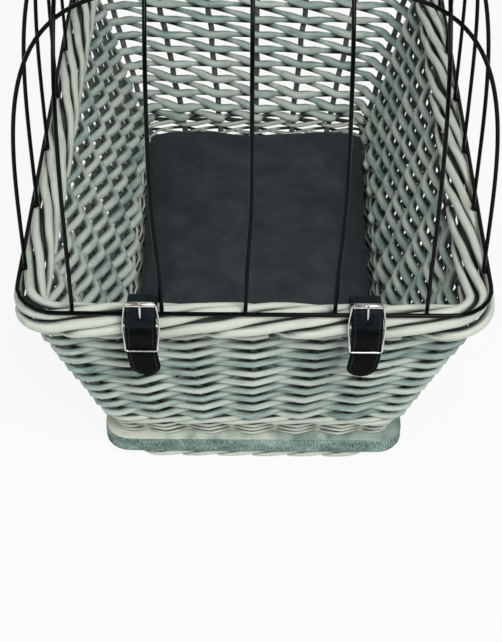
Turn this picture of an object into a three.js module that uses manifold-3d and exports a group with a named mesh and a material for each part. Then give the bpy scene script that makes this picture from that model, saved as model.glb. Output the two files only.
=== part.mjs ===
// Dog bicycle basket: a woven willow body on a base board, with a hinged wire hood,
// two leather buckle straps at the front end and two leather hinge loops at the rear end.
// Millimetres. +Z is up, +X is to the right, and -Y is the front end, where the buckles are.
import * as THREE from 'three';
import { mergeVertices } from 'three/addons/utils/BufferGeometryUtils.js';
import Module from 'manifold-3d';

const wasm = await Module();
wasm.setup();

// Clearances
const GAP = 0.3; // between pieces that lie against each other
const PIVOT_PLAY = 0.3; // round a bar inside a roller, prong or fold
const WEAVE_PLAY = 0.3; // extra room between a woven course and its stakes
const SLOT_PLAY = 0.4; // beside the prong, in the straps
const TONGUE_PLAY = 0.8; // between the fold and the tongue over it

// Basket: outside of the border, and the height of the border's core rod
const BASKET_WIDTH = 350;
const BASKET_LENGTH = 550;
const RIM_CORNER = 22; // corner radius on the core rod's centre line
const CORE_HEIGHT = 201;

// Base board and the foot border under it
const BOARD_WIDTH = 244;
const BOARD_LENGTH = 422;
const BOARD_THICK = 15;
const BOARD_CORNER = 21;
const FOOT_ROD = 9;
const FOOT_INSET_SIDE = 25; // centre line, inside the board's long edges
const FOOT_INSET_END = 6; // and inside its short edges
const FOOT_CORNER = 20;

// Foot of the wall on the board: centre line of the stakes
const WALL_INSET_SIDE = 15; // inside the board's long edges
const WALL_INSET_END = 11.5; // and inside its short edges
const WALL_FOOT_CORNER = 15;

// Stakes and weave
const STAKE_DIAMETER = 5.6;
const END_STAKES = 5; // on each short side, without the corners
const SIDE_STAKES = 9; // on each long side, without the corners
const COURSES = 18;
const COURSE_THICK = 5;
const COURSE_SPACE = 1.4; // between one course and the next
const UPSETT_THICK = 3.2;
const UPSETT_TALL = 19;
const WALE_THICK = 6.8;
const WALE_TALL = 11;

// Border: rods laid round the core rod
const CORE_ROD = 9.8;
const BORDER_ROD = 9;
const BORDER_FIRST = -57; // degrees from straight out, of the lowest outer rod
const BORDER_TURN = 58; // degrees from one rod to the next
const BORDER_RODS = ['outer_low', 'outer_mid', 'outer_top', 'inner_top', 'inner_low'];

// Cushion
const CUSHION_TALL = 30; // at its edge seam's upper shoulder
const CUSHION_CROWN = 8;
const CUSHION_DRAWN = 5; // how far the sides pull in between the corners
const CUSHION_CORNER = 26;
const CUSHION_ROUND = 12; // rounding of its edges
const CUSHION_PLAY = 0.8; // to the weave round it

// Wire hood
const HOOD_TOP = 490; // over everything, from the ground
const PERIMETER_WIRE = 4.2;
const HOOD_WIRE = 3;
const PERIMETER_OUT = 9; // outside the core rod's centre line
const RIBS = 5;
const FIRST_RIB = 43.8; // from the side of the hood
const HOOPS = 7;
const FIRST_HOOP = 48; // from the end of the hood
const DOME_POWER = 4; // of the superellipse that shapes ribs and hoops
const WIRE_END_DROP = 0.5; // ends of ribs and hoops, below the perimeter wire's centre

// Leather
const LEATHER = 2.2;
const STRAP_WIDTH = 22;
const STRAP_X = 79; // centre of each strap and loop
const STRAP_BEND = 3; // radius of a bend, on the leather's centre line
const STRAP_SPLIT = 5; // above the core rod, where the loose part of the strap begins
const FOLD_END = 5; // below the centre bar, where the fold's end is sewn down
const TONGUE_TAIL = 26; // loose tail below the keeper bar
const TONGUE_TIP = 7; // corner radius of the tail's tip
const TONGUE_LEAN = 0.1; // how far the tail leans in, as a share of its length

// Where leather and prong meet or leave a bar: degrees round the bar, from straight out
const STRAP_MEETS_WIRE = 97;
const TONGUE_LEAVES_WIRE = 75;
const LOOP_LEAVES_WIRE = 5;
const TONGUE_AT_ROLLER = -110;
const TONGUE_AT_KEEPER = 166;
const PRONG_ON_ROLLER = 18;

// Buckle, of bent wire
const BUCKLE_WIRE = 2.2;
const BUCKLE_CORNER = 1.8;
const BUCKLE_BAR_HEIGHT = 11; // centre bar, above the core rod
const BUCKLE_UP = 17.5; // centre bar to roller bar
const BUCKLE_DOWN = 20.4; // centre bar to keeper bar
const BUCKLE_LEAN = 8; // degrees that the buckle's foot stands out
const ROLLER_WALL = 0.6;
const PRONG_WIRE = 1.8;
const PRONG_RING_WALL = 1.2;
const PRONG_RING_WIDE = 3.2;
const PRONG_ANGLE = 80; // degrees above straight out, where it passes the strap
const PRONG_CLEAR = 11.6; // from the centre bar, where it has left the strap
const PRONG_PAST = 2.2; // tip beyond the roller

// Mesh fineness
const ROUND_SIDES = 6;
const WIRE_SIDES = 5;
const BUCKLE_SIDES = 8; // also of the perimeter wire and the foot border
const SMOOTH_SIDES = 12;
const CORNER_STEPS = 6;
const TONGUE_STEPS = 22;
const WIRE_RISE = [0, 0.25, 0.5, 0.66]; // shares of a hood wire's height, where it has points
const CUSHION_SIDE_STEPS = 8;
const CUSHION_CORNER_STEPS = 4;
const CUSHION_EDGE = [-90, -55, -25, 0, 25, 55]; // degrees round its edge, where it has points
const CUSHION_TOP = [0.85, 0.6, 0.3]; // shares of its size, where its top has points

// Levels and places that follow from the sizes
const BOARD_BOTTOM = FOOT_ROD + GAP;
const BOARD_TOP = BOARD_BOTTOM + BOARD_THICK;
const WALL_BOTTOM = BOARD_TOP + GAP;
const BORDER_RING = (CORE_ROD + BORDER_ROD) / 2 + GAP;
const BORDER_REACH = BORDER_RING + BORDER_ROD / 2;
const STAKE_R = STAKE_DIAMETER / 2;
const LEATHER_OFF = GAP + LEATHER / 2; // leather's centre line from what it lies on
const borderRod = (index) => {
  const angle = THREE.MathUtils.degToRad(BORDER_FIRST + index * BORDER_TURN);
  return new THREE.Vector2(BORDER_RING * Math.cos(angle), BORDER_RING * Math.sin(angle));
};
const BORDER_UNDER = borderRod(0).y - BORDER_ROD / 2; // from the core rod, so negative
const STRAP_UNDER = BORDER_UNDER - LEATHER_OFF;
const WEAVE_TOP = CORE_HEIGHT + STRAP_UNDER - LEATHER_OFF;
const WEAVE_BOTTOM = WALL_BOTTOM + UPSETT_TALL + GAP + WALE_TALL + GAP;
const COURSE_PITCH = (WEAVE_TOP - WEAVE_BOTTOM) / COURSES;

// Outlines: half width, half length and corner radius
const FOOT_OF_WALL = {
  a: BOARD_WIDTH / 2 - WALL_INSET_SIDE,
  b: BOARD_LENGTH / 2 - WALL_INSET_END,
  r: WALL_FOOT_CORNER,
};
const TOP_OF_WALL = {
  a: BASKET_WIDTH / 2 - BORDER_REACH,
  b: BASKET_LENGTH / 2 - BORDER_REACH,
  r: RIM_CORNER,
};

const wireSeat = borderRod(2); // the outer top rod carries the perimeter wire
const wireLift = Math.sqrt(
  ((BORDER_ROD + PERIMETER_WIRE) / 2 + GAP) ** 2 - (PERIMETER_OUT - wireSeat.x) ** 2,
);
const WIRE_ABOVE = wireSeat.y + wireLift; // perimeter wire, above the core rod
const WIRE_HEIGHT = CORE_HEIGHT + WIRE_ABOVE;

const material = (color, roughness, metalness) =>
  new THREE.MeshStandardMaterial({ color, roughness, metalness });
const WASHED_WILLOW = material(0xb4bdb2, 0.75, 0);
const CREAM_WILLOW = material(0xd6d4c2, 0.7, 0);
const BOARD_STAIN = material(0x8b9592, 0.85, 0);
const DARK_FABRIC = material(0x343a41, 0.95, 0);
const BLACK_WIRE = material(0x101112, 0.3, 0.5);
const BLACK_LEATHER = material(0x17171a, 0.45, 0);
const NICKEL = material(0xc8c9cb, 0.25, 1);

const basket = new THREE.Group();
const addNode = (name, geometry, look) => {
  const mesh = new THREE.Mesh(geometry, look);
  mesh.name = name;
  basket.add(mesh);
};

// A closed body from rows of points: rows follow each other along a path, and each row is a loop.
// An open path is closed by a flat end at either side.
function loft(rows, pathCloses) {
  const count = rows[0].length;
  const points = rows.flat();
  const index = [];
  const last = pathCloses ? rows.length : rows.length - 1;
  for (let i = 0; i < last; i++) {
    const next = (i + 1) % rows.length;
    for (let k = 0; k < count; k++) {
      const side = (k + 1) % count;
      const [p, q] = [i * count + k, i * count + side];
      const [s, t] = [next * count + side, next * count + k];
      index.push(p, q, s, p, s, t);
    }
  }
  if (!pathCloses) {
    const end = (rows.length - 1) * count;
    for (let k = 1; k < count - 1; k++) {
      index.push(0, k + 1, k, end, end + k, end + k + 1);
    }
  }
  return outwardGeometry(points, index);
}

// Turns the faces over where they would point into the body.
function outwardGeometry(points, index) {
  let volume = 0;
  for (let i = 0; i < index.length; i += 3) {
    const [p, q, s] = [points[index[i]], points[index[i + 1]], points[index[i + 2]]];
    volume += p.dot(new THREE.Vector3().crossVectors(q, s));
  }
  if (volume < 0) index.reverse();
  const geometry = new THREE.BufferGeometry().setFromPoints(points);
  geometry.setIndex(index);
  geometry.computeVertexNormals();
  return geometry;
}

// A round bar along points; across is a direction that the path never runs along.
function bar(points, diameter, sides, across, pathCloses = false) {
  const rows = points.map((point, i) => {
    const wrap = (k) => (k + points.length) % points.length;
    const clamp = (k) => THREE.MathUtils.clamp(k, 0, points.length - 1);
    const pick = pathCloses ? wrap : clamp;
    const along = points[pick(i + 1)].clone().sub(points[pick(i - 1)]).normalize();
    const one = new THREE.Vector3().crossVectors(across, along).normalize();
    const two = new THREE.Vector3().crossVectors(along, one);
    return Array.from({ length: sides }, (_, k) => {
      const angle = ((k + 0.5) / sides) * 2 * Math.PI;
      return point
        .clone()
        .addScaledVector(one, (diameter / 2) * Math.cos(angle))
        .addScaledVector(two, (diameter / 2) * Math.sin(angle));
    });
  });
  return loft(rows, pathCloses);
}

function toSolid(geometry) {
  const bare = geometry.clone();
  bare.deleteAttribute('normal');
  bare.deleteAttribute('uv');
  const merged = mergeVertices(bare, 1e-4);
  return new wasm.Manifold(
    new wasm.Mesh({
      numProp: 3,
      vertProperties: new Float32Array(merged.attributes.position.array),
      triVerts: new Uint32Array(merged.index.array),
    }),
  );
}

function fromSolid(solid) {
  const mesh = solid.getMesh();
  const geometry = new THREE.BufferGeometry();
  geometry.setAttribute('position', new THREE.BufferAttribute(new Float32Array(mesh.vertProperties), 3));
  geometry.setIndex([...mesh.triVerts]);
  geometry.computeVertexNormals();
  return geometry;
}

const join = (...parts) => fromSolid(parts.map(toSolid).reduce((all, one) => all.add(one)));
const cut = (part, ...tools) =>
  fromSolid(tools.map(toSolid).reduce((rest, tool) => rest.subtract(tool), toSolid(part)));

const X_AXIS = new THREE.Vector3(1, 0, 0);
const Y_AXIS = new THREE.Vector3(0, 1, 0);
const Z_AXIS = new THREE.Vector3(0, 0, 1);

// A station is a place on any rounded rectangle: a share of a straight side, or an angle of a
// corner. The same station on two outlines gives the two ends of a straight stake.
function stationPoint({ side, share, angle }, { a, b, r }) {
  const turn = (side * Math.PI) / 2;
  const [across, reach] = side % 2 ? [b, a] : [a, b];
  let x = share * (across - r);
  let y = -reach;
  let normal = new THREE.Vector2(0, -1);
  if (angle !== undefined) {
    normal = new THREE.Vector2(Math.sin(angle), -Math.cos(angle));
    x = across - r + r * normal.x;
    y = r - reach + r * normal.y;
  }
  const point = new THREE.Vector2(x, y).rotateAround(new THREE.Vector2(), turn);
  return { point, normal: normal.rotateAround(new THREE.Vector2(), turn) };
}

// Corner arcs only, for rings that run straight along the sides.
function plainStations() {
  const stations = [];
  for (let side = 0; side < 4; side++) {
    for (let step = 0; step <= CORNER_STEPS; step++) {
      stations.push({ side, angle: ((step / CORNER_STEPS) * Math.PI) / 2 });
    }
  }
  return stations;
}

// Stakes on each side and one in each corner. The weave changes to the other face of the wall
// where a station flips. In a corner it has a place of its own on either side of the stake, and
// swing is the share of its full distance from the wall that it has there.
function weaveStations() {
  const stations = [];
  for (let side = 0; side < 4; side++) {
    const across = side % 2 ? TOP_OF_WALL.b : TOP_OF_WALL.a;
    const stakes = side % 2 ? SIDE_STAKES : END_STAKES;
    const straight = across - RIM_CORNER;
    const spacing = (straight + (Math.PI / 4) * RIM_CORNER) / ((stakes + 1) / 2);
    for (let i = 0; i < stakes; i++) {
      const share = ((i - (stakes - 1) / 2) * spacing) / straight;
      stations.push({ side, share, stake: true, flips: true, swing: 1 });
    }
    const swing = Math.cos((Math.PI * ((Math.PI / 8) * RIM_CORNER)) / spacing);
    stations.push({ side, angle: Math.PI / 8, flips: true, swing });
    stations.push({ side, angle: Math.PI / 4, stake: true, swing: 1 });
    stations.push({ side, angle: (3 * Math.PI) / 8, swing });
  }
  return stations;
}
const STATIONS = weaveStations();
const STAKES = STATIONS.filter((station) => station.stake);

// The wall leans out from the board to the border, so its outline grows with height.
function wallOutline(height) {
  const share = (height - WALL_BOTTOM) / (CORE_HEIGHT - WALL_BOTTOM);
  const mix = (key) => THREE.MathUtils.lerp(FOOT_OF_WALL[key], TOP_OF_WALL[key], share);
  return { a: mix('a'), b: mix('b'), r: mix('r') };
}

function wallPoint(station, out, height) {
  const { point, normal } = stationPoint(station, wallOutline(height));
  return new THREE.Vector3(point.x + out * normal.x, point.y + out * normal.y, height);
}

const weaveReach = (thick) => STAKE_R + GAP + WEAVE_PLAY + thick / 2;

// One woven ring, which passes outside one stake and inside the next.
function wovenRing(bottom, tall, thick, startsOutside) {
  const middle = bottom + tall / 2;
  const outline = [
    [0.5, -0.25], [0.5, 0.25], [0, 0.5],
    [-0.5, 0.25], [-0.5, -0.25], [0, -0.5],
  ];
  let face = startsOutside ? -1 : 1;
  const rows = STATIONS.map((station) => {
    if (station.flips) face = -face;
    const out = face * station.swing * weaveReach(thick);
    return outline.map(([n, z]) => wallPoint(station, out + n * thick, middle + z * tall));
  });
  return loft(rows, true);
}

// A round rod that follows the rim, beside the core rod's centre line.
function rimRing(out, height, diameter, sides) {
  const points = plainStations().map((station) => {
    const { point, normal } = stationPoint(station, TOP_OF_WALL);
    return new THREE.Vector3(point.x + out * normal.x, point.y + out * normal.y, height);
  });
  return bar(points, diameter, sides, Z_AXIS, true);
}

// Base
function boardGeometry() {
  const outline = new THREE.Shape();
  const [x, y] = [BOARD_WIDTH / 2 - BOARD_CORNER, BOARD_LENGTH / 2 - BOARD_CORNER];
  outline.absarc(x, y, BOARD_CORNER, 0, Math.PI / 2);
  outline.absarc(-x, y, BOARD_CORNER, Math.PI / 2, Math.PI);
  outline.absarc(-x, -y, BOARD_CORNER, Math.PI, 1.5 * Math.PI);
  outline.absarc(x, -y, BOARD_CORNER, 1.5 * Math.PI, 2 * Math.PI);
  return new THREE.ExtrudeGeometry(outline, {
    depth: BOARD_THICK,
    bevelEnabled: false,
    curveSegments: CORNER_STEPS,
  }).translate(0, 0, BOARD_BOTTOM);
}

// Flat underneath, where it stands.
function footGeometry() {
  const outline = {
    a: BOARD_WIDTH / 2 - FOOT_INSET_SIDE,
    b: BOARD_LENGTH / 2 - FOOT_INSET_END,
    r: FOOT_CORNER,
  };
  const across = FOOT_ROD / Math.cos(Math.PI / BUCKLE_SIDES);
  const points = plainStations().map((station) => {
    const { point } = stationPoint(station, outline);
    return new THREE.Vector3(point.x, point.y, FOOT_ROD / 2);
  });
  return bar(points, across, BUCKLE_SIDES, Z_AXIS, true);
}

addNode('base_board', boardGeometry(), BOARD_STAIN);
addNode('foot_border', footGeometry(), CREAM_WILLOW);

// Stakes with the core rod that they are bent into
function stakeGeometry(station) {
  const rows = [WALL_BOTTOM, CORE_HEIGHT].map((height) => {
    const middle = wallPoint(station, 0, height);
    return Array.from({ length: ROUND_SIDES }, (_, k) => {
      const angle = (k / ROUND_SIDES) * 2 * Math.PI;
      return new THREE.Vector3(
        middle.x + STAKE_R * Math.cos(angle),
        middle.y + STAKE_R * Math.sin(angle),
        height,
      );
    });
  });
  return loft(rows, false);
}
const coreRod = rimRing(0, CORE_HEIGHT, CORE_ROD, ROUND_SIDES);
addNode('stake_frame', join(coreRod, ...STAKES.map(stakeGeometry)), WASHED_WILLOW);

// Weave and border
addNode('upsett_band', wovenRing(WALL_BOTTOM, UPSETT_TALL, UPSETT_THICK, true), CREAM_WILLOW);
const waleBottom = WALL_BOTTOM + UPSETT_TALL + GAP;
addNode('base_wale', wovenRing(waleBottom, WALE_TALL, WALE_THICK, false), CREAM_WILLOW);
for (let i = 0; i < COURSES; i++) {
  const bottom = WEAVE_BOTTOM + i * COURSE_PITCH;
  const tall = COURSE_PITCH - COURSE_SPACE;
  const ring = wovenRing(bottom, tall, COURSE_THICK, i % 2 === 0);
  addNode(`weave_course_${i + 1}`, ring, WASHED_WILLOW);
}
BORDER_RODS.forEach((name, i) => {
  const place = borderRod(i);
  const rod = rimRing(place.x, CORE_HEIGHT + place.y, BORDER_ROD, ROUND_SIDES);
  addNode(`border_rod_${name}`, rod, CREAM_WILLOW);
});

// Cushion on the board: crowned, with rounded edges and sides drawn in between its corners
function cushionGeometry() {
  const waleMiddle = wallOutline(waleBottom + WALE_TALL / 2);
  const inside = weaveReach(WALE_THICK) + WALE_THICK / 2 + CUSHION_PLAY;
  const half = { a: waleMiddle.a - inside, b: waleMiddle.b - inside, r: CUSHION_CORNER };
  const stations = [];
  for (let side = 0; side < 4; side++) {
    for (let i = 1; i < CUSHION_SIDE_STEPS; i++) {
      stations.push({ side, share: (2 * i) / CUSHION_SIDE_STEPS - 1 });
    }
    for (let step = 0; step <= CUSHION_CORNER_STEPS; step++) {
      stations.push({ side, angle: ((step / CUSHION_CORNER_STEPS) * Math.PI) / 2 });
    }
  }
  const floor = WALL_BOTTOM;
  const middle = floor + CUSHION_TALL / 2;
  const levels = CUSHION_EDGE.map((degrees) => {
    const angle = THREE.MathUtils.degToRad(degrees);
    return {
      inset: CUSHION_ROUND * (1 - Math.cos(angle)),
      height: middle + (CUSHION_TALL / 2) * Math.sin(angle),
    };
  });
  const drawn = ({ share }) => (share === undefined ? 0 : CUSHION_DRAWN * (1 - share ** 2));
  const rows = levels.map(({ inset, height }) =>
    stations.map((station) => {
      const { point, normal } = stationPoint(station, half);
      const out = -(inset + drawn(station));
      return new THREE.Vector3(point.x + out * normal.x, point.y + out * normal.y, height);
    }),
  );
  const shoulder = rows.at(-1);
  for (const share of CUSHION_TOP) {
    const crown = CUSHION_CROWN * (1 - share ** 2);
    rows.push(
      shoulder.map(
        (point) => new THREE.Vector3(point.x * share, point.y * share, floor + CUSHION_TALL + crown),
      ),
    );
  }
  return loft(rows, false);
}
addNode('cushion', cushionGeometry(), DARK_FABRIC);

// Wire hood. Ribs lie on a dome whose ends rise straight up, and hoops lie just inside it.
const dome = (share) => (1 - Math.abs(share) ** DOME_POWER) ** (1 / DOME_POWER);
const domeShare = (height) => (1 - height ** DOME_POWER) ** (1 / DOME_POWER);
const domeSlope = (share) =>
  (-Math.sign(share) * Math.abs(share) ** (DOME_POWER - 1)) / dome(share) ** (DOME_POWER - 1);
const WIRE_BESIDE = (PERIMETER_WIRE + HOOD_WIRE) / 2 + GAP; // a rib or hoop inside the perimeter
const WIRE_CROSSING = HOOD_WIRE + GAP; // a hoop under a rib
const DOME = {
  a: TOP_OF_WALL.a + PERIMETER_OUT - WIRE_BESIDE + WIRE_CROSSING,
  b: TOP_OF_WALL.b + PERIMETER_OUT - WIRE_BESIDE,
  tall: HOOD_TOP - HOOD_WIRE / 2 - WIRE_HEIGHT,
};
const evenPlaces = (count, reach) =>
  Array.from({ length: count }, (_, i) => reach * ((2 * i) / (count - 1) - 1));
const ribPlaces = evenPlaces(RIBS, TOP_OF_WALL.a + PERIMETER_OUT - FIRST_RIB);
const hoopPlaces = evenPlaces(HOOPS, TOP_OF_WALL.b + PERIMETER_OUT - FIRST_HOOP);

// Places along one half of a wire, from its end to the middle, with the other half mirrored.
function wireShares(crossings, reach) {
  const upright = WIRE_RISE.map((height) => domeShare(height));
  const crossed = crossings.filter((place) => place > 0).map((place) => place / reach);
  const between = (upright.at(-1) + Math.max(...crossed)) / 2;
  const half = [...upright, between, ...crossed.reverse()];
  return [...half.map((share) => -share), 0, ...half.toReversed()];
}

function ribGeometry(x) {
  const points = wireShares(hoopPlaces, DOME.b).map((share) => {
    const height = DOME.tall * dome(x / DOME.a) * dome(share);
    return new THREE.Vector3(x, share * DOME.b, WIRE_HEIGHT + height);
  });
  points[0].z -= WIRE_END_DROP;
  points.at(-1).z -= WIRE_END_DROP;
  return bar(points, HOOD_WIRE, WIRE_SIDES, X_AXIS);
}

function hoopGeometry(y) {
  const points = wireShares(ribPlaces, DOME.a).map((share) => {
    const height = DOME.tall * dome(share) * dome(y / DOME.b);
    const slopeX = (DOME.tall * dome(y / DOME.b) * domeSlope(share)) / DOME.a;
    const slopeY = (DOME.tall * dome(share) * domeSlope(y / DOME.b)) / DOME.b;
    const outward =
      Math.abs(share) === 1
        ? new THREE.Vector3(share, 0, 0)
        : new THREE.Vector3(-slopeX, -slopeY, 1).normalize();
    const onDome = new THREE.Vector3(share * DOME.a, y, WIRE_HEIGHT + height);
    return onDome.addScaledVector(outward, -WIRE_CROSSING);
  });
  points[0].z -= WIRE_END_DROP;
  points.at(-1).z -= WIRE_END_DROP;
  return bar(points, HOOD_WIRE, WIRE_SIDES, Y_AXIS);
}

const perimeterWire = rimRing(PERIMETER_OUT, WIRE_HEIGHT, PERIMETER_WIRE, BUCKLE_SIDES);
addNode('hood_perimeter_wire', perimeterWire, BLACK_WIRE);
ribPlaces.forEach((x, i) => addNode(`hood_rib_${i + 1}`, ribGeometry(x), BLACK_WIRE));
hoopPlaces.forEach((y, i) => addNode(`hood_hoop_${i + 1}`, hoopGeometry(y), BLACK_WIRE));

// Leather and buckles are drawn in a plane square to the rim: n is out from the core rod and
// z is up from it. A place in that plane becomes a point at the front or the rear end.
const atRim = (x, place, end) =>
  new THREE.Vector3(x, end * (TOP_OF_WALL.b + place.x), CORE_HEIGHT + place.y);
const FRONT_END = -1;
const REAR_END = 1;
const at = (n, z) => new THREE.Vector2(n, z);
const polar = (centre, radius, degrees) => {
  const angle = THREE.MathUtils.degToRad(degrees);
  return at(centre.x + radius * Math.cos(angle), centre.y + radius * Math.sin(angle));
};
const arc = (centre, radius, from, to, steps) =>
  Array.from({ length: steps + 1 }, (_, i) => polar(centre, radius, from + ((to - from) * i) / steps));

// A leather band of even thickness along places in the rim plane.
function leatherBand(path, x, width, end, pathCloses = false) {
  const rows = path.map((place, i) => {
    const before = path[pathCloses ? (i + path.length - 1) % path.length : Math.max(i - 1, 0)];
    const after = path[pathCloses ? (i + 1) % path.length : Math.min(i + 1, path.length - 1)];
    const along = after.clone().sub(before).normalize();
    const off = at(-along.y, along.x).multiplyScalar(LEATHER / 2);
    const faces = [place.clone().add(off), place.clone().sub(off)];
    return [
      atRim(x - width / 2, faces[0], end),
      atRim(x + width / 2, faces[0], end),
      atRim(x + width / 2, faces[1], end),
      atRim(x - width / 2, faces[1], end),
    ];
  });
  return loft(rows, pathCloses);
}

// Bars of the buckle, seen along X
const OUT_RUN = BORDER_REACH + LEATHER_OFF;
const FOLD_R = BUCKLE_WIRE / 2 + PIVOT_PLAY + LEATHER / 2;
const CENTRE_BAR = at(OUT_RUN + FOLD_R, BUCKLE_BAR_HEIGHT);
const ROLLER_BAR = polar(CENTRE_BAR, BUCKLE_UP, 90 + BUCKLE_LEAN);
const KEEPER_BAR = polar(CENTRE_BAR, BUCKLE_DOWN, BUCKLE_LEAN - 90);
const ROLLER_R = BUCKLE_WIRE / 2 + PIVOT_PLAY + ROLLER_WALL;
const RAIL_X = STRAP_WIDTH / 2 + GAP + BUCKLE_WIRE / 2;
const INNER_RUN = borderRod(4).x - BORDER_ROD / 2 - LEATHER_OFF;

// Under the border from outside to inside, with a round bend at either side
function underBorder() {
  const bend = (n, from, to) => arc(at(n, STRAP_UNDER + STRAP_BEND), STRAP_BEND, from, to, 3);
  return [...bend(OUT_RUN - STRAP_BEND, 0, -90), ...bend(INNER_RUN + STRAP_BEND, -90, -180)];
}

// Over the inner top rod and the perimeter wire, from inside to outside; until is the angle at
// which it leaves the wire.
function overBorder(until, steps) {
  const innerTop = borderRod(3);
  const crest = innerTop.y + BORDER_ROD / 2 + LEATHER_OFF;
  const bendStart = STRAP_SPLIT + LEATHER;
  const shoulder = [180, 150, 120, 90].map((degrees) => {
    const angle = THREE.MathUtils.degToRad(degrees);
    return at(
      innerTop.x + (innerTop.x - INNER_RUN) * Math.cos(angle),
      bendStart + (crest - bendStart) * Math.sin(angle),
    );
  });
  const wire = at(PERIMETER_OUT, WIRE_ABOVE);
  const onWire = arc(wire, PERIMETER_WIRE / 2 + LEATHER_OFF, STRAP_MEETS_WIRE, until, steps);
  return [...shoulder, ...onWire];
}

// The strap: folded round the buckle's centre bar, down, under the border and up inside.
function strapGeometry(x) {
  const fold = arc(CENTRE_BAR, FOLD_R, 0, 180, 8);
  const path = [
    at(CENTRE_BAR.x + FOLD_R, CENTRE_BAR.y - FOLD_END),
    ...fold,
    ...underBorder(),
    at(INNER_RUN, STRAP_SPLIT),
  ];
  const band = leatherBand(path, x, STRAP_WIDTH, FRONT_END);
  const slotTall = FOLD_R + LEATHER + GAP;
  const slot = new THREE.BoxGeometry(PRONG_RING_WIDE + 2 * SLOT_PLAY, 2 * slotTall, 2 * slotTall);
  const middle = atRim(x, CENTRE_BAR, FRONT_END);
  return cut(band, slot.translate(middle.x, middle.y, middle.z));
}

// The loose part of the strap: over the rim, under the roller, over the fold, under the keeper.
const TONGUE_OVER_FOLD = FOLD_R + LEATHER + TONGUE_PLAY;
const prongAcross = (radius) => polar(CENTRE_BAR, radius, PRONG_ANGLE);
function tonguePath() {
  const underRoller = polar(ROLLER_BAR, ROLLER_R + LEATHER_OFF, TONGUE_AT_ROLLER);
  const overFold = arc(CENTRE_BAR, TONGUE_OVER_FOLD, 45, 0, 2);
  const pastFold = at(CENTRE_BAR.x + TONGUE_OVER_FOLD, CENTRE_BAR.y - FOLD_END);
  const underKeeper = polar(KEEPER_BAR, BUCKLE_WIRE / 2 + LEATHER_OFF, TONGUE_AT_KEEPER);
  const tip = at(underKeeper.x - TONGUE_TAIL * TONGUE_LEAN, underKeeper.y - TONGUE_TAIL);
  const over = overBorder(TONGUE_LEAVES_WIRE, 2);
  const woven = [over.pop(), underRoller, ...overFold, pastFold, underKeeper, tip];
  const curve = new THREE.SplineCurve(woven).getPoints(TONGUE_STEPS);
  return [at(INNER_RUN, STRAP_SPLIT + GAP), ...over, ...curve];
}

function tongueGeometry(x) {
  const path = tonguePath();
  const band = leatherBand(path, x, STRAP_WIDTH, FRONT_END);
  const holeWide = PRONG_WIRE + 2 * SLOT_PLAY;
  const ends = [FOLD_R, PRONG_CLEAR].map((radius) => atRim(x, prongAcross(radius), FRONT_END));
  const hole = bar(ends, holeWide, SMOOTH_SIDES, X_AXIS);
  const tip = path.at(-1);
  const corners = [-1, 1].map((hand) => tipCorner(x + (hand * STRAP_WIDTH) / 2, hand, tip));
  return cut(band, hole, ...corners);
}

// What is trimmed off one corner of the tail to leave a round tip
function tipCorner(edge, hand, tip) {
  const shape = new THREE.Shape();
  shape.moveTo(-TONGUE_TIP, 0);
  shape.absarc(-TONGUE_TIP, TONGUE_TIP, TONGUE_TIP, -Math.PI / 2, 0);
  shape.lineTo(LEATHER, TONGUE_TIP);
  shape.lineTo(LEATHER, -LEATHER);
  shape.lineTo(-TONGUE_TIP, -LEATHER);
  const depth = 4 * LEATHER;
  const tool = new THREE.ExtrudeGeometry(shape, { depth, bevelEnabled: false, curveSegments: 5 });
  tool.translate(0, 0, -depth / 2).rotateX(Math.PI / 2);
  if (hand < 0) tool.rotateZ(Math.PI);
  const middle = atRim(edge, tip, FRONT_END);
  return tool.translate(middle.x, middle.y, middle.z);
}

// Bent wire loop with a straight centre bar
function buckleGeometry(x) {
  const corner = (hand, end, from) =>
    Array.from({ length: 4 }, (_, i) => {
      const angle = from + (i * Math.PI) / 6;
      const across = x + hand * (RAIL_X - BUCKLE_CORNER) + BUCKLE_CORNER * Math.cos(angle);
      const inward = end === ROLLER_BAR ? -1 : 1;
      const along = inward * BUCKLE_CORNER + BUCKLE_CORNER * Math.sin(angle);
      return atRim(across, polar(end, along, 90 + BUCKLE_LEAN), FRONT_END);
    });
  const loop = [
    ...corner(1, ROLLER_BAR, 0),
    ...corner(-1, ROLLER_BAR, Math.PI / 2),
    ...corner(-1, KEEPER_BAR, Math.PI),
    ...corner(1, KEEPER_BAR, 1.5 * Math.PI),
  ];
  const square = atRim(0, polar(at(0, 0), 1, BUCKLE_LEAN), FRONT_END).sub(atRim(0, at(0, 0), FRONT_END));
  const frame = bar(loop, BUCKLE_WIRE, BUCKLE_SIDES, square, true);
  const ends = [-RAIL_X, RAIL_X].map((reach) => atRim(x + reach, CENTRE_BAR, FRONT_END));
  return join(frame, bar(ends, BUCKLE_WIRE, BUCKLE_SIDES, Z_AXIS));
}

// A tube round a bar that lies along X
function tubeOnBar(x, place, inside, outside, wide) {
  const section = [
    new THREE.Vector2(inside, -wide / 2),
    new THREE.Vector2(outside, -wide / 2),
    new THREE.Vector2(outside, wide / 2),
    new THREE.Vector2(inside, wide / 2),
    new THREE.Vector2(inside, -wide / 2),
  ];
  const middle = atRim(x, place, FRONT_END);
  return new THREE.LatheGeometry(section, SMOOTH_SIDES)
    .rotateZ(Math.PI / 2)
    .translate(middle.x, middle.y, middle.z);
}

const barHole = (BUCKLE_WIRE / 2 + PIVOT_PLAY) / Math.cos(Math.PI / SMOOTH_SIDES);
function rollerGeometry(x) {
  const wide = 2 * (RAIL_X - BUCKLE_CORNER - GAP);
  return tubeOnBar(x, ROLLER_BAR, barHole, ROLLER_R, wide);
}

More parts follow.
